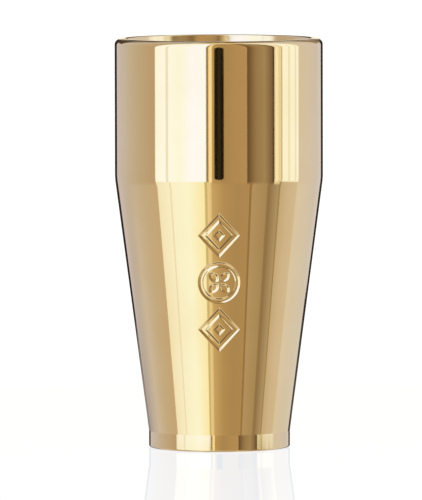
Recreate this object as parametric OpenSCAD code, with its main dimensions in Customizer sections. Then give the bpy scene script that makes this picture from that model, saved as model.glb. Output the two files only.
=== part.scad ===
// Double-ended bar jigger. An engraved outer sleeve holds a large cup in its top
// and a small cup, upside down, in its foot. Each cup has a collar that presses on
// a seal in the sleeve's end, and a screw between the two floors pulls them tight.
// Millimetres, +Z up, origin at the centre of the base.

/* [Outside] */
// Outer diameter of the straight upper band
top_d = 46; // [45.6:0.1:47]
// Outer diameter of the foot band
foot_d = 31.2; // [30.8:0.1:32]
// Height over all
total_h = 90.4; // [88:0.1:96]
// Height of the straight upper band
band_h = 30.9; // [28:0.1:32]
// Height of the straight foot band
foot_h = 3.65; // [3.3:0.05:5]
// Radius that blends the upper band into the taper
blend_r = 17; // [14:1:17]
// Rounding of the rim's outer edge, across the sleeve and the upper cup's collar
rim_edge_r = 1.45; // [0.2:0.05:1.6]
// Rounding of the foot's outer edge
foot_edge_r = 0.4; // [0.2:0.05:0.65]

/* [Walls] */
// Width of the lip at each end, sleeve and cup together
lip_w = 2.4; // [2.3:0.05:2.5]
// Wall of the sleeve between its two ends
sleeve_t = 1.7; // [1.5:0.05:1.7]
// Wall of the sleeve round each cup's collar
sleeve_lip_t = 0.7; // [0.7:0.05:0.8]
// Wall of each cup
cup_t = 0.8; // [0.6:0.05:0.8]
// Floor of each cup
floor_t = 1; // [0.8:0.1:1.2]
// Height of each cup's collar
collar_h = 2.5; // [2:0.1:2.5]

/* [Measures] */
// Brimful volume of the upper cup, millilitres (1.5 US fluid ounces)
upper_ml = 44.36; // [40:0.01:45]
// Brimful volume of the lower cup, millilitres (0.75 US fluid ounce)
lower_ml = 22.18; // [20:0.01:22.5]
// Volume at the upper cup's inner line, millilitres (1 US fluid ounce)
upper_line_ml = 29.57; // [20:0.01:35]
// Volume at the lower cup's inner line, millilitres (0.5 US fluid ounce)
lower_line_ml = 14.79; // [7:0.01:17]
// Height over which each mouth flares outwards
flare_h = 3.5; // [2:0.1:4]
// How far the upper cup's mouth flares
upper_flare_w = 0.5; // [0.3:0.05:0.6]
// How far the lower cup's mouth flares
lower_flare_w = 0.3; // [0.3:0.05:0.4]
// Inner radius between the upper cup's wall and floor
upper_corner_r = 5; // [4:0.1:6]
// Inner radius between the lower cup's wall and floor
lower_corner_r = 3; // [2:0.1:4]

/* [Engraving] */
// Width of each of the three ornaments
motif_w = 9.2; // [6:0.1:9.4]
// Height of the two diamonds
motif_h = 9.8; // [7:0.1:10]
// Height of the middle ornament's centre above the base
motif_z = 37.6; // [34:0.1:38]
// Spacing of the ornaments' centres
motif_pitch = 10.4; // [9.8:0.1:11]
// Depth of the engraving
engrave_depth = 0.3; // [0.2:0.05:0.5]

/* [Fixings] */
// Outer diameter of the tapped bosses
boss_d = 12; // [9:0.5:16]
// Gap left between the two bosses
boss_gap = 0.5; // [0.3:0.1:1]
// Diameter of the tie screw
screw_d = 5; // [4:0.5:6]
// Hexagon socket of the tie screw, across its corners
socket_d = 2.9; // [2:0.1:2.9]
// Section diameter of the seal rings
seal_d = 0.8; // [0.7:0.05:0.8]
// Height of the seal rings once squeezed
seal_h = 0.7; // [0.6:0.05:0.7]

/* [Hidden] */
$fn = 96;

slip = 0.03;                // gap between a sliding face and its seat
seal_gap = 0.05;            // from a seal ring to the wall round it
line_r = 0.2;               // section radius of the measuring lines
mouth_edge_r = 0.35;        // rounding of each cup's inner mouth edge
screw_end_gap = 0.3;        // from each end of the tie screw to a floor
socket_depth = 2.5;

top_r = top_d / 2;
foot_r = foot_d / 2;
taper_top_z = total_h - band_h;
seat_h = collar_h + seal_h;             // depth of the counterbore in each end
seat_top_r = top_r - sleeve_lip_t;
seat_foot_r = foot_r - sleeve_lip_t;

upper_in_r = top_r - lip_w - upper_flare_w;
lower_in_r = foot_r - lip_w - lower_flare_w;
upper_depth = level_h(upper_in_r, upper_corner_r,
                      upper_ml - flare_ml(upper_in_r, upper_flare_w));
lower_depth = level_h(lower_in_r, lower_corner_r,
                      lower_ml - flare_ml(lower_in_r, lower_flare_w));
upper_floor_z = total_h - upper_depth - floor_t;    // underside of the upper floor
lower_floor_z = lower_depth + floor_t;              // top of the lower floor
boss_h = (upper_floor_z - lower_floor_z - boss_gap) / 2;

// Volume that the rounding between a wall and a floor takes out of a cup
function corner_loss(r, corner_r) =
    2 * PI * (r - corner_r * (5 / 6 - PI / 4) / (1 - PI / 4))
    * (1 - PI / 4) * corner_r ^ 2;

// Millilitres that the flare of the mouth adds to a straight cup
function flare_ml(r, flare_w) = PI * flare_h * flare_w * (r + flare_w / 3) / 1000;

// Height above the floor at which a straight cup of radius r holds the millilitres
function level_h(r, corner_r, ml) = (ml * 1000 + corner_loss(r, corner_r)) / (PI * r ^ 2);

// Radius of the taper's outside at height z
function taper_r(z) = foot_r + (top_r - foot_r) * (z - foot_h) / (taper_top_z - foot_h);

function unit(v) = v / norm(v);

// What has to go from a corner of an outline, to leave an arc tangent to both
// of its sides. before and after are points on the two sides.
module corner_waste(before, corner, after, r) {
    u = unit(before - corner);
    v = unit(after - corner);
    half = acos(u * v) / 2;
    centre = corner + unit(u + v) * r / sin(half);
    start = corner + u * r / tan(half);
    end = corner + v * r / tan(half);
    start_out = unit(start - centre);
    end_out = unit(end - centre);
    difference() {
        polygon([start, start + start_out, corner + start_out + end_out,
                 end + end_out, end]);
        translate(centre) circle(r);
    }
}

// Right half of the sleeve's section
module sleeve_section() {
    bore_top_r = top_r - sleeve_t;
    bore_foot_r = foot_r - sleeve_t;
    base = [foot_r, 0];
    taper_foot = [foot_r, foot_h];
    taper_top = [top_r, taper_top_z];
    rim = [top_r, total_h];
    difference() {
        polygon([
            [seat_foot_r, 0], base, taper_foot, taper_top, rim,
            [seat_top_r, total_h], [seat_top_r, total_h - seat_h],
            [bore_top_r, total_h - seat_h], [bore_top_r, taper_top_z],
            [bore_foot_r, foot_h], [bore_foot_r, seat_h], [seat_foot_r, seat_h]
        ]);
        corner_waste([0, 0], base, taper_foot, foot_edge_r);
        corner_waste(taper_foot, taper_top, rim, blend_r, $fn = 360);
        corner_waste(taper_top, rim, [0, total_h], rim_edge_r);
    }
}

module diamond(w, h) {
    polygon([[w / 2, 0], [0, h / 2], [-w / 2, 0], [0, -h / 2]]);
}

// Diamond with a border, and a small solid diamond in its middle
module bordered_diamond(w, h) {
    hole = 0.58;
    core = 0.28;
    difference() {
        diamond(w, h);
        diamond(w * hole, h * hole);
    }
    diamond(w * core, h * core);
}

// Pointed petals round a centre, each the overlap of two circles
module rosette(d) {
    petals = 4;
    petal_l = d * 0.44;
    petal_w = d * 0.3;
    petal_start = d * 0.06;
    arc_r = (petal_l ^ 2 + petal_w ^ 2) / (4 * petal_w);
    for (i = [0:petals - 1])
        rotate((i + 0.5) * 360 / petals)
            translate([petal_start + petal_l / 2, 0]) intersection() {
                translate([0, arc_r - petal_w / 2]) circle(arc_r);
                translate([0, petal_w / 2 - arc_r]) circle(arc_r);
            }
}

module ring_outline(d, t) {
    difference() {
        circle(d / 2);
        circle(d / 2 - t);
    }
}

// The three ornaments, drawn flat with the middle one at the origin
module ornaments() {
    for (side = [-1, 1])
        translate([0, side * motif_pitch]) bordered_diamond(motif_w, motif_h);
    ring_outline(motif_w, motif_w * 0.13);
    rosette(motif_w * 0.66);
}

// The ornaments as a cut of even depth in the front of the taper
module engraving() {
    reach = motif_pitch + motif_h / 2 + 1;
    low = motif_z - reach;
    high = motif_z + reach;
    proud = 1;
    intersection() {
        translate([0, -foot_r / 2, motif_z]) rotate([90, 0, 0])
            linear_extrude(top_r) ornaments();
        rotate_extrude() polygon([
            [taper_r(low) - engrave_depth, low], [taper_r(low) + proud, low],
            [taper_r(high) + proud, high], [taper_r(high) - engrave_depth, high]
        ]);
    }
}

module outer_sleeve() {
    color("#d9b978") difference() {
        rotate_extrude() sleeve_section();
        engraving();
    }
}

// Right half of a cup's hollow, standing on its floor, mouth up
module cup_hollow(in_r, flare_w, depth, corner_r) {
    rim_z = floor_t + depth;
    mouth_r = in_r + flare_w;
    flare_foot = [in_r, rim_z - flare_h];
    mouth = [mouth_r, rim_z];
    difference() {
        polygon([
            [0, floor_t], [in_r, floor_t], flare_foot, mouth,
            [mouth_r, rim_z + 1], [0, rim_z + 1]
        ]);
        corner_waste([0, floor_t], [in_r, floor_t], flare_foot, corner_r);
    }
    corner_waste([mouth_r + 1, rim_z], mouth, flare_foot, mouth_edge_r);
}

// Cup standing on its floor at z = 0, mouth up, with its collar round the mouth.
// end_r and edge_r are the outer radius and rounding of the end that it closes.
module cup(in_r, flare_w, depth, corner_r, collar_r, line_h, end_r, edge_r) {
    out_r = in_r + cup_t;
    h = floor_t + depth;
    rotate_extrude() difference() {
        union() {
            square([out_r, h]);
            translate([0, h - collar_h]) square([collar_r, collar_h]);
        }
        corner_waste([0, 0], [out_r, 0], [out_r, h], corner_r + cup_t);
        corner_waste([end_r, 0], [end_r, h], [0, h], edge_r);
        cup_hollow(in_r, flare_w, depth, corner_r);
        translate([in_r, floor_t + line_h]) circle(line_r);
    }
}

module upper_cup() {
    color("#d2b06c") translate([0, 0, upper_floor_z])
        cup(upper_in_r, upper_flare_w, upper_depth, upper_corner_r, seat_top_r - slip,
            level_h(upper_in_r, upper_corner_r, upper_line_ml), top_r, rim_edge_r);
}

module lower_cup() {
    color("#caa660") translate([0, 0, lower_floor_z]) mirror([0, 0, 1])
        cup(lower_in_r, lower_flare_w, lower_depth, lower_corner_r, seat_foot_r - slip,
            level_h(lower_in_r, lower_corner_r, lower_line_ml), foot_r, foot_edge_r);
}

// Seal ring, flattened where the collar and the sleeve's shoulder squeeze it
module seal(seat_r) {
    rotate_extrude() translate([seat_r - seal_gap - seal_d / 2, 0]) intersection() {
        circle(seal_d / 2);
        square([seal_d + 1, seal_h], center = true);
    }
}

module upper_seal() {
    color("#2b2b2b") translate([0, 0, total_h - collar_h - seal_h / 2]) seal(seat_top_r);
}

module lower_seal() {
    color("#2b2b2b") translate([0, 0, collar_h + seal_h / 2]) seal(seat_foot_r);
}

// Boss with a tapped hole, shown at the thread's outer diameter
module boss() {
    bevel = 0.6;
    difference() {
        rotate_extrude() polygon([
            [0, 0], [boss_d / 2, 0], [boss_d / 2, boss_h - bevel],
            [boss_d / 2 - bevel, boss_h], [0, boss_h]
        ]);
        translate([0, 0, -1]) cylinder(d = screw_d, h = boss_h + 2);
    }
}

module upper_boss() {
    color("#b5893f") translate([0, 0, upper_floor_z]) mirror([0, 0, 1]) boss();
}

module lower_boss() {
    color("#b5893f") translate([0, 0, lower_floor_z]) boss();
}

// Headless screw with a hexagon socket in its lower end
module tie_screw() {
    low = lower_floor_z + screw_end_gap;
    high = upper_floor_z - screw_end_gap;
    r = screw_d / 2 - slip;
    bevel = 0.4;
    color("#9da2a6") difference() {
        rotate_extrude() polygon([
            [0, low], [r - bevel, low], [r, low + bevel],
            [r, high - bevel], [r - bevel, high], [0, high]
        ]);
        translate([0, 0, low - 1]) cylinder(d = socket_d, h = socket_depth + 1, $fn = 6);
    }
}

outer_sleeve();
upper_cup();
lower_cup();
upper_seal();
lower_seal();
upper_boss();
lower_boss();
tie_screw();
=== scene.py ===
import math
import bpy
import numpy as np
from mathutils import Matrix, Vector


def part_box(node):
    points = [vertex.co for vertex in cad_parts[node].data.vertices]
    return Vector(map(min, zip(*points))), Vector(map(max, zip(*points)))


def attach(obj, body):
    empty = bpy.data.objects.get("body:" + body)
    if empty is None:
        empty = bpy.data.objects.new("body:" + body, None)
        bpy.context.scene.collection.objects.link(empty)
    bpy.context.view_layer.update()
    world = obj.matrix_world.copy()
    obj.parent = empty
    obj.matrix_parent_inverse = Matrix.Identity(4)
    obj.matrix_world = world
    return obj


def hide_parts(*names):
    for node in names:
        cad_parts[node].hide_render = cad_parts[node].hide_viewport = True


# Metres, +Z up, origin at the centre of the base, the front of the object on -Y.
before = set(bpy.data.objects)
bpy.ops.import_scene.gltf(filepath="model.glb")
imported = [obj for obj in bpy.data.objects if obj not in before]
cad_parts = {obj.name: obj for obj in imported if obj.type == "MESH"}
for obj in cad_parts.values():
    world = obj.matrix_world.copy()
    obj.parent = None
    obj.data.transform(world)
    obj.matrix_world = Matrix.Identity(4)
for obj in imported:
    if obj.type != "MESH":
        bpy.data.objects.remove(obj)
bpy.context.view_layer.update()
MM = 0.001

# ---------------------------------------------------------------- sizes, as in the CAD
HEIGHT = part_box("upper_cup")[1].z
TOP_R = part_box("outer_sleeve")[1].x
FOOT_R = 15.6 * MM
BAND_H = 30.9 * MM
TAPER_TOP_Z = HEIGHT - BAND_H
FOOT_H = 3.65 * MM
BLEND_R = 17 * MM
RIM_EDGE_R = 1.45 * MM
FOOT_EDGE_R = 0.4 * MM
SLEEVE_LIP_T = 0.7 * MM     # sleeve's wall round a cup's collar
SLEEVE_T = 1.7 * MM
SEAT_H = 3.2 * MM           # depth of the counterbore that takes a collar
COLLAR_H = 2.5 * MM
SLIP = 0.03 * MM
CUP_T = 0.8 * MM
FLOOR_T = 1.0 * MM
FLARE_H = 3.5 * MM
FLARE_R = 2 * MM            # rounding between flare and wall
MOUTH_EDGE_R = 0.35 * MM
LINE_R = 0.2 * MM           # measuring lines
BREAK_R = 0.06 * MM         # break between taper and foot band
EDGE_R = 0.05 * MM          # all other edges
AXIS_R = 0.02 * MM          # a floor's innermost row

UPPER_CUP = {
    "in_r": 20.1 * MM, "flare": 0.5 * MM, "depth": 35.3666 * MM, "corner_r": 5 * MM,
    "collar_r": TOP_R - SLEEVE_LIP_T - SLIP, "line_h": 23.80 * MM,
}
LOWER_CUP = {
    "in_r": 12.9 * MM, "flare": 0.3 * MM, "depth": 42.6279 * MM, "corner_r": 3 * MM,
    "collar_r": FOOT_R - SLEEVE_LIP_T - SLIP, "line_h": 28.57 * MM,
}

# Engraved ornaments: three in a column on the front of the taper
MOTIF_W = 9.2 * MM
MOTIF_H = 9.8 * MM
MOTIF_Z = 37.6 * MM
MOTIF_PITCH = 10.4 * MM
ENGRAVE_DEPTH = 0.3 * MM
CARVE_SLOPE = 0.75          # of the cut's sides
CARVE_STEP = 0.11 * MM      # mesh size where the engraving is
CARVE_MARGIN = 0.4 * MM
CARVE_HALF_ANGLE = 17.0
CARVE_MID_R = 18.5 * MM     # the taper's radius behind the ornaments
PLAIN_COLUMNS = 162         # on the rest of the way round


# ---------------------------------------------------------------- outlines and lathes
def outward(d):
    """Outward normal of an outline that has its solid on the left."""
    return Vector((d.y, -d.x)).normalized()


def corner_rows(before, here, after, fillet, steps):
    """Points and normals of the arc that rounds a corner, tangent to both its sides."""
    d0 = (here - before).normalized()
    d1 = (after - here).normalized()
    n0 = outward(d0)
    turn = math.atan2(d0.x * d1.y - d0.y * d1.x, d0.dot(d1))
    if fillet <= 0 or abs(turn) < 1e-6:
        return [(here, outward(d0 + d1))]
    side = 1 if turn > 0 else -1
    start = here - d0 * fillet * math.tan(abs(turn) / 2)
    centre = start - n0 * fillet * side
    rows = []
    for k in range(steps + 1):
        n = Matrix.Rotation(turn * k / steps, 2) @ n0
        rows.append((centre + n * fillet * side, n))
    return rows


def outline(corners, closed):
    """Rows (radius, height, normal's radius, normal's height) along rounded corners."""
    points = [Vector(c[:2]) for c in corners]
    count = len(points)
    rows = []
    for i, (_, _, fillet, steps) in enumerate(corners):
        if not closed and i == 0:
            rows.append((points[0], outward(points[1] - points[0])))
        elif not closed and i == count - 1:
            rows.append((points[i], outward(points[i] - points[i - 1])))
        else:
            rows += corner_rows(points[i - 1], points[i], points[(i + 1) % count], fillet, steps)
    return np.array([[p.x, p.y, n.x, n.y] for p, n in rows])


def arc_rows(centre_r, centre_z, radius, start, end, steps):
    """Rows along an arc that bulges outwards, between two angles above the horizon."""
    angles = np.radians(np.linspace(start, end, steps + 1))
    nr, nz = np.cos(angles), np.sin(angles)
    return np.stack([centre_r + radius * nr, centre_z + radius * nz, nr, nz], 1)


def rim_angle(r):
    """Angle on the rim's rounding at which its radius is r."""
    return math.degrees(math.acos((r - TOP_R + RIM_EDGE_R) / RIM_EDGE_R))


def even_columns(step=2.0):
    """Angles of a lathe's columns, the same step apart all the way round."""
    return np.radians(np.arange(0, 360, step))


def carved_columns():
    """Close columns in front, where the engraving is, and 2 degree ones elsewhere."""
    near = math.radians(CARVE_HALF_ANGLE)
    count = int(round(2 * near * CARVE_MID_R / CARVE_STEP))
    front = np.linspace(-near, near, count + 1)
    rest = np.linspace(near, 2 * math.pi - near, PLAIN_COLUMNS + 2)[1:-1]
    return np.concatenate([front, rest])


def lathe(name, rows, columns, closed, carve=None):
    """A turned mesh with exact normals. A closed one joins its last row to its first; an
    open one gets a point on the axis at each end. carve gives how far a point is sunk."""
    r = np.repeat(rows[:, :1], len(columns), 1)
    z = np.repeat(rows[:, 1:2], len(columns), 1)
    sin, cos = np.sin(columns)[None, :], np.cos(columns)[None, :]
    nr, nz = rows[:, 2:3], rows[:, 3:4]
    normals = np.stack([nr * sin, -nr * cos, np.repeat(nz, len(columns), 1)], 2)
    if carve is not None:
        sunk = carve(r * sin, z, rows[:, 2:3], cos)
        r = r - sunk
    points = np.stack([r * sin, -r * cos, z], 2)
    if carve is not None:
        along = np.roll(points, -1, 1) - np.roll(points, 1, 1)
        up = np.roll(points, -1, 0) - np.roll(points, 1, 0)
        facing = np.cross(along, up)
        facing /= np.linalg.norm(facing, axis=2, keepdims=True)
        near = sum(np.roll(np.roll(sunk, a, 0), b, 1) for a in (-1, 0, 1) for b in (-1, 0, 1))
        normals = np.where((near > 0)[:, :, None], facing, normals)
    n_rows, n_cols = r.shape
    index = np.arange(n_rows * n_cols).reshape(n_rows, n_cols)
    below = index if closed else index[:-1]
    above = np.roll(index, -1, 0) if closed else index[1:]
    quads = np.stack([below, np.roll(below, -1, 1), np.roll(above, -1, 1), above], 2)
    faces = [tuple(q) for q in quads.reshape(-1, 4).tolist()]
    co = points.reshape(-1, 3)
    no = normals.reshape(-1, 3)
    if not closed:
        first, last = len(co), len(co) + 1
        co = np.vstack([co, [0, 0, rows[0, 1]], [0, 0, rows[-1, 1]]])
        no = np.vstack([no, [0, 0, rows[0, 3]], [0, 0, rows[-1, 3]]])
        for j in range(n_cols):
            k = (j + 1) % n_cols
            faces.append((first, int(index[0, k]), int(index[0, j])))
            faces.append((last, int(index[-1, j]), int(index[-1, k])))
    mesh = bpy.data.meshes.new(name)
    mesh.from_pydata(co.tolist(), [], faces)
    mesh.shade_smooth()
    mesh.normals_split_custom_set_from_vertices(no.tolist())
    obj = bpy.data.objects.new(name, mesh)
    bpy.context.scene.collection.objects.link(obj)
    return obj


# ---------------------------------------------------------------- engraving
def inside_diamond(x, z, w, h):
    """Distance from a diamond's edge, positive inside it."""
    a, b = w / 2, h / 2
    return (a * b - np.abs(x) * b - np.abs(z) * a) / math.hypot(a, b)


def inside_bordered_diamond(x, z):
    """A diamond border and a small diamond within it."""
    hole, core = 0.58, 0.28
    border = np.minimum(
        inside_diamond(x, z, MOTIF_W, MOTIF_H),
        -inside_diamond(x, z, MOTIF_W * hole, MOTIF_H * hole),
    )
    return np.maximum(border, inside_diamond(x, z, MOTIF_W * core, MOTIF_H * core))


def inside_petal(x, z, size):
    """Overlap of two circles, lying along +x from near the centre."""
    length, width, start = size * 0.44, size * 0.3, size * 0.06
    arc_r = (length ** 2 + width ** 2) / (4 * width)
    along = x - start - length / 2
    off = arc_r - width / 2
    return np.minimum(arc_r - np.hypot(along, z - off), arc_r - np.hypot(along, z + off))


def inside_rosette(x, z):
    """Four petals within a ring."""
    size = MOTIF_W * 0.66
    ring_t = MOTIF_W * 0.13
    dist = np.hypot(x, z)
    best = np.minimum(MOTIF_W / 2 - dist, dist - (MOTIF_W / 2 - ring_t))
    for i in range(4):
        turn = math.radians(45 + 90 * i)
        c, s = math.cos(turn), math.sin(turn)
        best = np.maximum(best, inside_petal(x * c + z * s, z * c - x * s, size))
    return best


def carved_depth(x, z, normal_r, cos):
    """V-cut depth of the ornaments at a point of the sleeve's front."""
    dz = z - MOTIF_Z
    inside = np.maximum(
        inside_rosette(x, dz),
        np.maximum(
            inside_bordered_diamond(x, dz - MOTIF_PITCH),
            inside_bordered_diamond(x, dz + MOTIF_PITCH),
        ),
    )
    depth = np.clip(inside * CARVE_SLOPE, 0, ENGRAVE_DEPTH)
    return np.where((normal_r > 0.9) & (cos > 0), depth, 0)


# ---------------------------------------------------------------- pieces
def taper_r(z):
    """The taper's outer radius at a height."""
    return FOOT_R + (TOP_R - FOOT_R) * (z - FOOT_H) / (TAPER_TOP_Z - FOOT_H)


def make_sleeve():
    """The sleeve: its outside up to the seam in the rim, then its inside downwards."""
    seat_top_r = TOP_R - SLEEVE_LIP_T
    seat_foot_r = FOOT_R - SLEEVE_LIP_T
    rim_centre_r = TOP_R - RIM_EDGE_R
    rim_centre_z = HEIGHT - RIM_EDGE_R
    under_lip_r = (seat_foot_r + FOOT_R) / 2
    seam_angle = rim_angle(seat_top_r + EDGE_R)
    seam_z = rim_centre_z + RIM_EDGE_R * math.sin(math.radians(seam_angle)) - EDGE_R
    reach = MOTIF_PITCH + MOTIF_H / 2 + CARVE_MARGIN
    carved_z = np.arange(MOTIF_Z - reach, MOTIF_Z + reach, CARVE_STEP)
    outside = [
        (under_lip_r, 0, 0, 0),
        (FOOT_R, 0, FOOT_EDGE_R, 10),
        (FOOT_R, FOOT_H, BREAK_R, 3),
    ]
    outside += [(taper_r(z), z, 0, 0) for z in carved_z]
    outside += [
        (TOP_R, TAPER_TOP_Z, BLEND_R, 12),
        (TOP_R, rim_centre_z, 0, 0),
    ]
    inside = [
        (seat_top_r, seam_z, 0, 0),
        (seat_top_r, HEIGHT - SEAT_H, EDGE_R, 3),
        (TOP_R - SLEEVE_T, HEIGHT - SEAT_H, EDGE_R, 3),
        (TOP_R - SLEEVE_T, TAPER_TOP_Z, BLEND_R, 6),
        (FOOT_R - SLEEVE_T, FOOT_H, EDGE_R, 2),
        (FOOT_R - SLEEVE_T, SEAT_H, EDGE_R, 3),
        (seat_foot_r, SEAT_H, EDGE_R, 3),
        (seat_foot_r, 0, EDGE_R, 3),
        (under_lip_r, 0, 0, 0),
    ]
    rows = np.concatenate([
        outline(outside, False)[1:-1],
        arc_rows(rim_centre_r, rim_centre_z, RIM_EDGE_R, 0, seam_angle, 16),
        outline(inside, False),
    ])
    return lathe("sleeve", rows, carved_columns(), True, carved_depth)


def make_cup(name, cup, floor_z, up):
    """A cup with its collar, flared mouth and measuring line. up is 1 or -1."""
    in_r = cup["in_r"]
    out_r = in_r + CUP_T
    rim = FLOOR_T + cup["depth"]
    mouth_r = in_r + cup["flare"]
    line = FLOOR_T + cup["line_h"]
    collar_r = cup["collar_r"]
    outside = [
        (AXIS_R, 0, 0, 0),
        (out_r, 0, cup["corner_r"] + CUP_T, 10),
        (out_r, rim - COLLAR_H, EDGE_R, 3),
        (collar_r, rim - COLLAR_H, EDGE_R, 3),
    ]
    inside = [
        (mouth_r, rim, MOUTH_EDGE_R, 8),
        (in_r, rim - FLARE_H, FLARE_R, 4),
        (in_r, line + LINE_R, EDGE_R, 2),
        (in_r + LINE_R, line, LINE_R * 0.4, 4),
        (in_r, line - LINE_R, EDGE_R, 2),
        (in_r, FLOOR_T, cup["corner_r"], 12),
        (AXIS_R, FLOOR_T, 0, 0),
    ]
    if up > 0:
        # this collar carries the inner part of the rim's rounding
        seam_angle = rim_angle(collar_r - EDGE_R)
        seam_z = rim - RIM_EDGE_R + RIM_EDGE_R * math.sin(math.radians(seam_angle)) - EDGE_R
        rows = np.concatenate([
            outline(outside + [(collar_r, seam_z, 0, 0)], False),
            arc_rows(TOP_R - RIM_EDGE_R, rim - RIM_EDGE_R, RIM_EDGE_R, seam_angle, 90, 10),
            outline([(TOP_R - RIM_EDGE_R, rim, 0, 0)] + inside, False)[1:],
        ])
    else:
        rows = outline(outside + [(collar_r, rim, EDGE_R, 3)] + inside, False)
        rows = rows[::-1] * np.array([1, -1, 1, -1])
    rows[:, 1] += floor_z
    return lathe(name, rows, even_columns(), False)


# ---------------------------------------------------------------- materials
NOISE_RANGE = (0.3, 0.7)
CLOUD_RANGE = (0.35, 0.65)  # narrower, so that the cloudy tone reaches both its ends


def new_material(name):
    """An empty node material with its nodes and links."""
    mat = bpy.data.materials.new(name)
    mat.use_nodes = True
    mat.node_tree.nodes.clear()
    return mat, mat.node_tree.nodes, mat.node_tree.links


def math_node(nodes, links, operation, a, b=None):
    """A Math node of two numbers or sockets."""
    node = nodes.new("ShaderNodeMath")
    node.operation = operation
    for socket, value in zip(node.inputs, (a, b)):
        if value is None:
            continue
        if isinstance(value, (int, float)):
            socket.default_value = value
        else:
            links.new(value, socket)
    return node.outputs[0]


def map_range(nodes, links, value, low, high, to_low, to_high):
    """A socket's value from one range spread over another, kept within it."""
    node = nodes.new("ShaderNodeMapRange")
    links.new(value, node.inputs["Value"])
    node.inputs["From Min"].default_value = low
    node.inputs["From Max"].default_value = high
    node.inputs["To Min"].default_value = to_low
    node.inputs["To Max"].default_value = to_high
    return node.outputs["Result"]


def noise(nodes, links, vector, scale, detail=3.0, rough=0.5):
    """Noise around 0.5 that mostly stays within NOISE_RANGE."""
    node = nodes.new("ShaderNodeTexNoise")
    links.new(vector, node.inputs["Vector"])
    node.inputs["Scale"].default_value = scale
    node.inputs["Detail"].default_value = detail
    node.inputs["Roughness"].default_value = rough
    return node.outputs["Fac"]


def turned_coordinates(nodes, links, across, around):
    """Coordinates that change fast along a turned surface's outline, slowly round it."""
    radius_weight = 1.7     # of the radius against the height, so that flat faces vary too
    smallest_r = 1e-5
    place = nodes.new("ShaderNodeTexCoord").outputs["Object"]
    split = nodes.new("ShaderNodeSeparateXYZ")
    links.new(place, split.inputs[0])
    x, y, z = split.outputs
    squares = math_node(nodes, links, "ADD", math_node(nodes, links, "MULTIPLY", x, x),
                        math_node(nodes, links, "MULTIPLY", y, y))
    length = math_node(nodes, links, "SQRT", squares)
    radius = math_node(nodes, links, "MAXIMUM", length, smallest_r)
    join = nodes.new("ShaderNodeCombineXYZ")
    run = math_node(nodes, links, "ADD", math_node(nodes, links, "MULTIPLY", z, across),
                    math_node(nodes, links, "MULTIPLY", radius, across * radius_weight))
    sin = math_node(nodes, links, "DIVIDE", x, radius)
    cos = math_node(nodes, links, "DIVIDE", y, radius)
    links.new(run, join.inputs[0])
    links.new(math_node(nodes, links, "MULTIPLY", sin, around), join.inputs[1])
    links.new(math_node(nodes, links, "MULTIPLY", cos, around), join.inputs[2])
    return place, join.outputs[0], radius


def bump(nodes, links, height, distance, strength, below=None):
    """A bumped normal, on top of the normal below if there is one."""
    node = nodes.new("ShaderNodeBump")
    node.inputs["Distance"].default_value = distance
    node.inputs["Strength"].default_value = strength
    links.new(height, node.inputs["Height"])
    if below is not None:
        links.new(below, node.inputs["Normal"])
    return node.outputs["Normal"]


def mix_colours(nodes, links, factor, a, b):
    """Colour between a and b, each a tuple or a socket."""
    node = nodes.new("ShaderNodeMix")
    node.data_type = "RGBA"
    links.new(factor, node.inputs[0])
    for socket, value in ((node.inputs[6], a), (node.inputs[7], b)):
        if isinstance(value, tuple):
            socket.default_value = (*value, 1)
        else:
            links.new(value, socket)
    return node.outputs[2]


def turned_metal(name, colour, shade, rough, lines, waves, satin_r=0.0, satin=0.0):
    """Turned metal: a cloudy tone from colour to shade, a roughness that varies between
    the two of rough, fine lines round the axis and a slow wave, both given by their
    depth. Within satin_r of the axis the roughness is higher, by satin."""
    cloud_scale, line_scale, wave_scale = 70, 9000, 35
    satin_edge = 0.1 * MM
    mat, nodes, links = new_material(name)
    place, turned, radius = turned_coordinates(nodes, links, 1.0, 0.004)
    clouds = noise(nodes, links, place, cloud_scale, 3)
    fine = noise(nodes, links, turned, line_scale, 2, 0.6)
    slow = noise(nodes, links, place, wave_scale, 1)
    shader = nodes.new("ShaderNodeBsdfPrincipled")
    shader.inputs["Metallic"].default_value = 1.0
    tone = map_range(nodes, links, clouds, *CLOUD_RANGE, 0, 1)
    links.new(mix_colours(nodes, links, tone, colour, shade), shader.inputs["Base Color"])
    grain = math_node(nodes, links, "ADD", math_node(nodes, links, "MULTIPLY", fine, 0.5),
                      math_node(nodes, links, "MULTIPLY", clouds, 0.5))
    polish = map_range(nodes, links, grain, *NOISE_RANGE, *rough)
    if satin:
        inside = map_range(nodes, links, radius, satin_r, satin_r - satin_edge, 0, satin)
        polish = math_node(nodes, links, "ADD", polish, inside)
    links.new(polish, shader.inputs["Roughness"])
    wave = bump(nodes, links, slow, waves, 1.0)
    links.new(bump(nodes, links, fine, lines, 1.0, wave), shader.inputs["Normal"])
    out = nodes.new("ShaderNodeOutputMaterial")
    links.new(shader.outputs[0], out.inputs["Surface"])
    return mat


def rubber(name):
    """Moulded rubber: a matt, finely grained near black."""
    black, grey = (0.012, 0.012, 0.013), (0.028, 0.027, 0.026)
    grain_scale, cloud_scale = 4000, 300
    grain_depth = 0.02 * MM
    rough = (0.45, 0.65)
    mat, nodes, links = new_material(name)
    place = nodes.new("ShaderNodeTexCoord").outputs["Object"]
    grain = noise(nodes, links, place, grain_scale, 4, 0.6)
    clouds = noise(nodes, links, place, cloud_scale, 2)
    shader = nodes.new("ShaderNodeBsdfPrincipled")
    links.new(mix_colours(nodes, links, clouds, black, grey), shader.inputs["Base Color"])
    polish = map_range(nodes, links, grain, *NOISE_RANGE, *rough)
    links.new(polish, shader.inputs["Roughness"])
    links.new(bump(nodes, links, grain, grain_depth, 0.6), shader.inputs["Normal"])
    out = nodes.new("ShaderNodeOutputMaterial")
    links.new(shader.outputs[0], out.inputs["Surface"])
    return mat


def set_material(obj, mat):
    """Give an object one material in place of those it has."""
    obj.data.materials.clear()
    obj.data.materials.append(mat)


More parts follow.
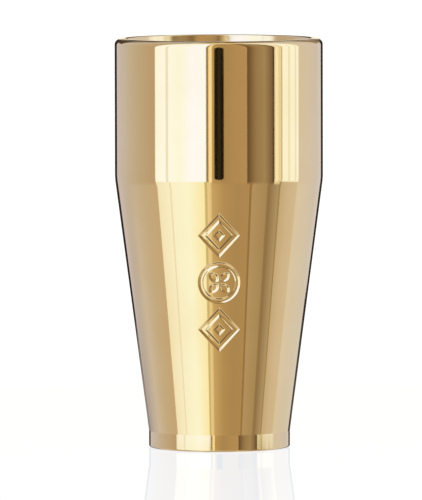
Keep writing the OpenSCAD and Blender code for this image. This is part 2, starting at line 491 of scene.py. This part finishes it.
# ---------------------------------------------------------------- light
# Cards stand round the object in two tiers. The straight bands and the rim reflect the
# tall ones, and the taper the low ones. Azimuths are degrees from the camera's side,
# positive to the camera's right. Elevations are degrees.
CARD_R = 0.9                # distance of the cards from the axis
SEAM_R = CARD_R - 0.01
FLAG_R = CARD_R - 0.02
KNEE = 25                   # elevation at which tall cards bend inwards
BENDS = (KNEE, 40, 55, 70, 80)
STEP_Z = -0.079             # where the tall cards end and the low ones begin
GROUND_Z = -0.6

SOFT_FOOT_H = 0.012         # these tall cards fade into the low ones over this height
SOFT_FOOT = ("left_softbox", "right_strip", "right_softbox")
SOFT_TOP_H = 0.06           # and these low cards into the tall ones
SOFT_TOP = ("left_wall", "front_wall", "brown_card", "brown_edge", "tan_card", "right_wall")

SEAMS = ((-58.8, 3.0), (83.4, 2.4), (93.4, 2.4))        # azimuths and widths
SEAM_GLOW = (0.87, 0.94, 1.10)
LOW_SEAM = (-57, -55)
LOW_SEAM_GLOW = (0.86, 0.90, 1.0)

BLACK_CARD = (-5.0, 5.4)    # a narrow card with round ends
BLACK_CARD_R = CARD_R - 0.03
BLACK_CARD_LOW = -0.025
BLACK_CARD_HIGH = 0.06
BLACK_CARD_FOOT = 0.039     # height of its round lower end
BLACK_CARD_CAP = 0.30       # and of its upper one
BLACK = (0.012, 0.009, 0.005)
GREY = (0.038, 0.029, 0.022)

FLAG = (0.03, 0.022, 0.02)
BACKDROP_AZIMUTH = 172      # the backdrop runs from here to the middle of the back
BACKDROP_TOP = 10           # elevation of its upper edge
BACKDROP = (1.0, 0.92, 0.77)
TOP_FLAG_AZIMUTH = 138
TOP_FLAG_TOP = 70
TOP_FLAGS = [
    ("top_flag_left", -180, -TOP_FLAG_AZIMUTH, [(0.03, 0.022, 0.02), (0.10, 0.07, 0.05)]),
    ("top_flag_right", TOP_FLAG_AZIMUTH, 180, [(0.40, 0.33, 0.27), (0.05, 0.035, 0.03)]),
]
OVERHEAD_R = 0.25
OVERHEAD_Z = 1.04
OVERHEAD = (0.70, 0.63, 0.50)

GROUND = (0.72, 0.66, 0.62)
# Painted shade: dark patches on the pale ground either side of the object, fading at their
# sides, stand for its soft shadow
PAINTED_GROUND_SHADE = (0.18, 0.125, 0.07)
PAINTED_GROUND_SHADE_R = (0.85, 0.4)
UNDERSIDE_SHADE_R = 0.15          # straight below the object it is dark: painted shade for the object's own shadow and contact on the floor
UNDERSIDE_SHADE = (0.09, 0.06, 0.03)

# Each card as name, start, end, and colours spread evenly from start to end
TALL_CARDS = [
    ("left_flag", -172, -153.5, [FLAG]),
    ("left_wall", -153.5, -74.2, [(0.62, 0.60, 0.80), (0.57, 0.57, 0.74), (0.54, 0.49, 0.50),
                                  (0.50, 0.41, 0.36)]),
    ("left_softbox", -74.2, -13.8, [(1.02, 1.17, 1.60), (1.03, 1.20, 1.85), (1.01, 1.19, 1.62),
                                    (1.03, 1.22, 2.10), (1.03, 1.23, 2.00)]),
    ("left_gap", -13.8, -11.3, [(0.30, 0.23, 0.10)]),
    ("gold_strip", -11.3, -7.6, [(1.0, 0.90, 0.75)]),
    ("front_wall", -7.6, 31.0, [(0.52, 0.39, 0.21), (0.41, 0.30, 0.19), (0.46, 0.33, 0.20),
                                (0.47, 0.34, 0.22)]),
    ("brown_card", 31.0, 61.2, [(0.13, 0.08, 0.04), (0.32, 0.24, 0.16), (0.38, 0.30, 0.21),
                                (0.19, 0.13, 0.10)]),
    ("right_gap", 61.2, 63.4, [(0.10, 0.06, 0.02)]),
    ("right_strip", 63.4, 72.4, [(0.78, 0.76, 0.68), (1.05, 1.08, 1.12), (0.84, 0.80, 0.74),
                                 (0.88, 0.82, 0.78)]),
    ("right_edge", 72.4, 73.8, [(0.52, 0.47, 0.41)]),
    ("right_softbox", 73.8, 98.2, [(1.0, 1.13, 1.40), (1.0, 1.13, 1.40), (1.03, 1.16, 1.55)]),
    ("right_wall", 98.2, 154.2, [(0.69, 0.69, 0.80), (0.68, 0.68, 0.86), (0.64, 0.65, 0.84),
                                 (0.68, 0.70, 0.88)]),
    ("right_flag", 154.2, 172, [FLAG]),
]
LOW_CARDS = [
    ("left_back", -180, -157, [(0.14, 0.12, 0.12), (0.33, 0.31, 0.36)]),
    ("left_wall", -157, -73.3, [(0.33, 0.31, 0.36), (0.49, 0.49, 0.65), (0.61, 0.59, 0.72),
                                (0.57, 0.52, 0.52), (0.575, 0.48, 0.42)]),
    ("left_softbox", -73.3, -16, [(0.93, 0.97, 1.08), (0.98, 1.10, 1.33), (1.0, 1.16, 1.42),
                                  (1.0, 1.04, 0.93)]),
    ("left_gap", -16, -13, [(0.62, 0.56, 0.36)]),
    ("gold_strip", -13, -8.4, [(0.86, 0.78, 0.60), (0.76, 0.66, 0.48)]),
    ("front_wall", -8.4, 34.8, [(0.60, 0.47, 0.30), (0.46, 0.34, 0.20), (0.42, 0.31, 0.19),
                                (0.44, 0.32, 0.19)]),
    ("front_line", 34.8, 37.2, [(0.30, 0.20, 0.11)]),
    ("brown_card", 37.2, 56, [(0.47, 0.37, 0.27), (0.40, 0.32, 0.22)]),
    ("brown_edge", 56, 60, [(0.30, 0.22, 0.14)]),
    ("tan_card", 60, 71, [(0.31, 0.24, 0.18), (0.46, 0.39, 0.31)]),
    ("tan_edge", 71, 73, [(0.36, 0.27, 0.17)]),
    ("right_softbox", 73, 98, [(0.58, 0.51, 0.47), (0.65, 0.59, 0.60), (0.66, 0.62, 0.64)]),
    ("right_wall", 98, 151.5, [(0.73, 0.72, 0.84), (0.69, 0.70, 0.86), (0.68, 0.70, 0.84),
                               (0.70, 0.71, 0.84)]),
    ("right_back", 151.5, 180, [(0.07, 0.06, 0.05), (0.08, 0.075, 0.07), (0.22, 0.23, 0.29)]),
]


def card_material():
    """Light of the colour that is stored in a card's points."""
    mat, nodes, links = new_material("card_light")
    colour = nodes.new("ShaderNodeAttribute")
    colour.attribute_name = "glow"
    shader = nodes.new("ShaderNodeEmission")
    links.new(colour.outputs["Color"], shader.inputs["Color"])
    out = nodes.new("ShaderNodeOutputMaterial")
    links.new(shader.outputs[0], out.inputs["Surface"])
    mat.cycles.emission_sampling = "NONE"
    return mat


def link_stage(name, mesh, mat):
    """Put a mesh in the scene as part of the studio."""
    obj = bpy.data.objects.new(name, mesh)
    mesh.materials.append(mat)
    bpy.context.scene.collection.objects.link(obj)
    return obj


def spread_colour(colours, part):
    """The colour at a part of the way across a card, its colours evenly spread."""
    spread = np.linspace(0, 1, len(colours))
    return [float(np.interp(part, spread, [c[i] for c in colours])) for i in range(3)]


def colour_at(cards, azimuth):
    """The colour of the card that covers an azimuth, or None."""
    for _, start, end, colours in cards:
        if start <= azimuth <= end:
            return spread_colour(colours, (azimuth - start) / (end - start))
    return None


def bent_card(name, mat, start, end, colours, profile, soft_row=None, soft_cards=()):
    """A card bent round the object, from one azimuth to another. profile(across) gives
    its (radius, height) from bottom to top, where across runs from -1 at one side of the
    card to 1 at the other. The row soft_row, if given, takes its colour from the one of
    soft_cards that stands at the same azimuth."""
    count = max(8, int(math.ceil(end - start))) + 1
    verts, faces, glow = [], [], []
    for k in range(count):
        part = k / (count - 1)
        azimuth = start + (end - start) * part
        turn = math.radians(azimuth)
        colour = spread_colour(colours, part)
        rows = profile(2 * part - 1)
        for radius, height in rows:
            verts.append((radius * math.sin(turn), -radius * math.cos(turn), height))
            glow.append(colour + [1.0])
        if soft_row is not None:
            glow[k * len(rows) + soft_row] = (colour_at(soft_cards, azimuth) or colour) + [1.0]
    for k in range(count - 1):
        for j in range(len(rows) - 1):
            a = k * len(rows) + j
            faces.append((a, a + len(rows), a + len(rows) + 1, a + 1))
    mesh = bpy.data.meshes.new(name)
    mesh.from_pydata(verts, [], faces)
    layer = mesh.attributes.new("glow", "FLOAT_COLOR", "POINT")
    layer.data.foreach_set("color", np.array(glow, np.float32).ravel())
    obj = link_stage(name, mesh, mat)
    obj.visible_camera = False
    obj.visible_diffuse = False
    obj.visible_shadow = False
    obj.visible_transmission = False


def straight(*rows):
    """The profile of a card that is the same all the way across."""
    return lambda across: rows


def tent(low, top, radius=CARD_R):
    """The profile of a card that stands upright from height low, and bends in over the
    object from KNEE up to the elevation top."""
    reach = radius / math.cos(math.radians(KNEE))
    rows = [(radius, low), (radius, low + SOFT_FOOT_H)]
    for elevation in BENDS:
        if elevation <= top:
            tilt = math.radians(elevation)
            rows.append((reach * math.cos(tilt), HEIGHT + reach * math.sin(tilt)))
    return straight(*rows)


def black_card_rows(across):
    """The profile of the black card: a half ellipse below and a rounded cap above."""
    shoulder = 0.6
    arch = math.sqrt(max(0.0, 1 - across * across))
    low = BLACK_CARD_LOW + BLACK_CARD_FOOT * (1 - arch)
    rise = max(0.0, arch - shoulder) / (1 - shoulder)
    high = BLACK_CARD_HIGH + BLACK_CARD_CAP * rise
    return [(BLACK_CARD_R, low), (BLACK_CARD_R, high)]


def make_walls(mat):
    """The two tiers of cards."""
    for name, start, end, colours in TALL_CARDS:
        soft_row = 0 if name in SOFT_FOOT else None
        bent_card(name, mat, start, end, colours, tent(STEP_Z, BENDS[-1]), soft_row, LOW_CARDS)
    low_rows = straight((CARD_R, GROUND_Z), (CARD_R, STEP_Z - SOFT_TOP_H), (CARD_R, STEP_Z))
    for name, start, end, colours in LOW_CARDS:
        soft_row = 2 if name in SOFT_TOP else None
        bent_card(name + "_low", mat, start, end, colours, low_rows, soft_row, TALL_CARDS)


def make_stripes(mat):
    """The narrow cards that stand in front of the others."""
    bent_card("seam_low", mat, *LOW_SEAM, [LOW_SEAM_GLOW],
              straight((SEAM_R, GROUND_Z), (SEAM_R, STEP_Z)))
    for i, (azimuth, width) in enumerate(SEAMS):
        bent_card("seam_%d" % i, mat, azimuth - width / 2, azimuth + width / 2,
                  [SEAM_GLOW], tent(STEP_Z, KNEE, SEAM_R))
    bent_card("black_card", mat, *BLACK_CARD, [BLACK, BLACK, GREY, BLACK, BLACK],
              black_card_rows)


def make_ends(mat):
    """The back, the ceiling and the ground, with painted shade on the ground beside and straight
    below the object.
    """
    backdrop_z = HEIGHT + CARD_R * math.tan(math.radians(BACKDROP_TOP))
    backdrop_rows = straight((CARD_R, STEP_Z), (CARD_R, backdrop_z))
    bent_card("backdrop_left", mat, -180, -BACKDROP_AZIMUTH, [BACKDROP], backdrop_rows)
    bent_card("backdrop_right", mat, BACKDROP_AZIMUTH, 180, [BACKDROP], backdrop_rows)
    for name, start, end, colours in TOP_FLAGS:
        bent_card(name, mat, start, end, colours, tent(backdrop_z, TOP_FLAG_TOP, FLAG_R))
    bent_card("overhead", mat, -180, 180, [OVERHEAD],
              straight((OVERHEAD_R, OVERHEAD_Z), (0, OVERHEAD_Z)))
    bent_card("ground", mat, -180, 180, [GROUND],
              straight((CARD_R, GROUND_Z), (UNDERSIDE_SHADE_R, GROUND_Z)))
    # painted shade on the ground, for the object's soft shadow on the pale floor
    shade_z = GROUND_Z + 0.01
    shade_rows = straight(*[(radius, shade_z) for radius in PAINTED_GROUND_SHADE_R])
    for name, start, end in (("ground_shade_left", -112, -36), ("ground_shade_right", 36, 112)):
        bent_card(name, mat, start, end, [GROUND, PAINTED_GROUND_SHADE, PAINTED_GROUND_SHADE, GROUND], shade_rows)
    # painted shade straight below the object, for its shadow on the floor
    bent_card("underside", mat, -180, 180, [UNDERSIDE_SHADE],
              straight((UNDERSIDE_SHADE_R, GROUND_Z), (0, GROUND_Z)))


def make_light():
    """All the cards."""
    mat = card_material()
    make_walls(mat)
    make_stripes(mat)
    make_ends(mat)


def floor_material():
    """Pale floor that is evenly lit. Close to the object it has a gloss, which shows at
    a grazing view, and beyond that the gloss fades out."""
    gloss_share = 0.71
    gloss_r, plain_r = 0.16, 0.32   # where the fading begins and ends
    gloss_rough = 0.04
    glow, strength = (1.0, 1.05, 1.095), 1.05
    gloss_colour = (1, 0.85, 0.74)
    mat, nodes, links = new_material("pale_floor")
    place = nodes.new("ShaderNodeTexCoord").outputs["Object"]
    length = nodes.new("ShaderNodeVectorMath")
    length.operation = "LENGTH"
    links.new(place, length.inputs[0])
    lit = nodes.new("ShaderNodeEmission")
    lit.inputs["Color"].default_value = (*glow, 1)
    lit.inputs["Strength"].default_value = strength
    gloss = nodes.new("ShaderNodeBsdfGlossy")
    gloss.inputs["Color"].default_value = (*gloss_colour, 1)
    gloss.inputs["Roughness"].default_value = gloss_rough
    mix = nodes.new("ShaderNodeMixShader")
    near = map_range(nodes, links, length.outputs["Value"], gloss_r, plain_r, gloss_share, 0)
    fresnel = nodes.new("ShaderNodeFresnel")
    fresnel.inputs["IOR"].default_value = 1.45
    grazing = math_node(nodes, links, "POWER", fresnel.outputs[0], 2.0)
    links.new(math_node(nodes, links, "MULTIPLY", near, grazing), mix.inputs[0])
    links.new(lit.outputs[0], mix.inputs[1])
    links.new(gloss.outputs[0], mix.inputs[2])
    out = nodes.new("ShaderNodeOutputMaterial")
    links.new(mix.outputs[0], out.inputs["Surface"])
    mat.cycles.emission_sampling = "NONE"
    return mat


def make_floor():
    """A wide square that the metal does not reflect."""
    half = 15.0
    z = -0.05 * MM          # just below the foot's face
    mesh = bpy.data.meshes.new("floor")
    mesh.from_pydata([(-half, -half, z), (half, -half, z), (half, half, z), (-half, half, z)],
                     [], [(0, 1, 2, 3)])
    obj = link_stage("floor", mesh, floor_material())
    obj.visible_glossy = False


def make_world():
    """Plain white all round."""
    world = bpy.data.worlds.new("studio")
    bpy.context.scene.world = world
    world.use_nodes = True
    back = world.node_tree.nodes["Background"]
    back.inputs["Color"].default_value = (1, 1, 1, 1)
    back.inputs["Strength"].default_value = 1.0


# ---------------------------------------------------------------- camera
CAMERA_PLACE = Vector((0, -1.85, 0.160))
CAMERA_TARGET = Vector((-1.79 * MM, 0, 43.5 * MM))
CAMERA_ROLL = -0.12         # degrees
LENS = 603.8                # millimetres, for the sensor below
SENSOR = 36


def make_camera():
    """A long lens from far away, which keeps the photo's nearly parallel view."""
    data = bpy.data.cameras.new("camera")
    data.lens = LENS
    data.sensor_width = SENSOR
    data.clip_end = 50
    data.dof.use_dof = False
    obj = bpy.data.objects.new("camera", data)
    bpy.context.scene.collection.objects.link(obj)
    aim = (CAMERA_TARGET - CAMERA_PLACE).to_track_quat("-Z", "Y").to_matrix()
    roll = Matrix.Rotation(math.radians(CAMERA_ROLL), 3, "Z")
    obj.matrix_world = Matrix.Translation(CAMERA_PLACE) @ (aim @ roll).to_4x4()
    bpy.context.scene.camera = obj


# ---------------------------------------------------------------- assembly
gold = turned_metal("polished_gold", (0.98, 0.785, 0.42), (0.96, 0.755, 0.39),
                    rough=(0.03, 0.07), lines=0.0002 * MM, waves=0.01 * MM)
cup_gold = turned_metal("cup_gold", (0.97, 0.78, 0.43), (0.94, 0.74, 0.39),
                        rough=(0.05, 0.12), lines=0.0004 * MM, waves=0.01 * MM,
                        satin_r=20.95 * MM, satin=0.09)
brass = turned_metal("raw_brass", (0.82, 0.62, 0.28), (0.72, 0.52, 0.22),
                     rough=(0.22, 0.38), lines=0.002 * MM, waves=0.01 * MM)
steel = turned_metal("plain_steel", (0.58, 0.58, 0.60), (0.50, 0.50, 0.52),
                     rough=(0.25, 0.4), lines=0.002 * MM, waves=0.01 * MM)
black_rubber = rubber("black_rubber")

sleeve = make_sleeve()
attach(sleeve, "root")
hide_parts("outer_sleeve")
set_material(sleeve, gold)

upper_floor_z = HEIGHT - UPPER_CUP["depth"] - FLOOR_T
upper = make_cup("large_cup", UPPER_CUP, upper_floor_z, 1)
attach(upper, "root")
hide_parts("upper_cup")
set_material(upper, cup_gold)

lower_floor_z = LOWER_CUP["depth"] + FLOOR_T
lower = make_cup("small_cup", LOWER_CUP, lower_floor_z, -1)
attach(lower, "root")
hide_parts("lower_cup")
set_material(lower, cup_gold)

# the pieces that keep the CAD's own shape
for node in ("upper_seal", "lower_seal"):
    set_material(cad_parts[node], black_rubber)
for node in ("upper_boss", "lower_boss"):
    set_material(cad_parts[node], brass)
set_material(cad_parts["tie_screw"], steel)

make_light()
make_floor()
make_world()
make_camera()
bpy.context.scene.view_settings.view_transform = "Standard"
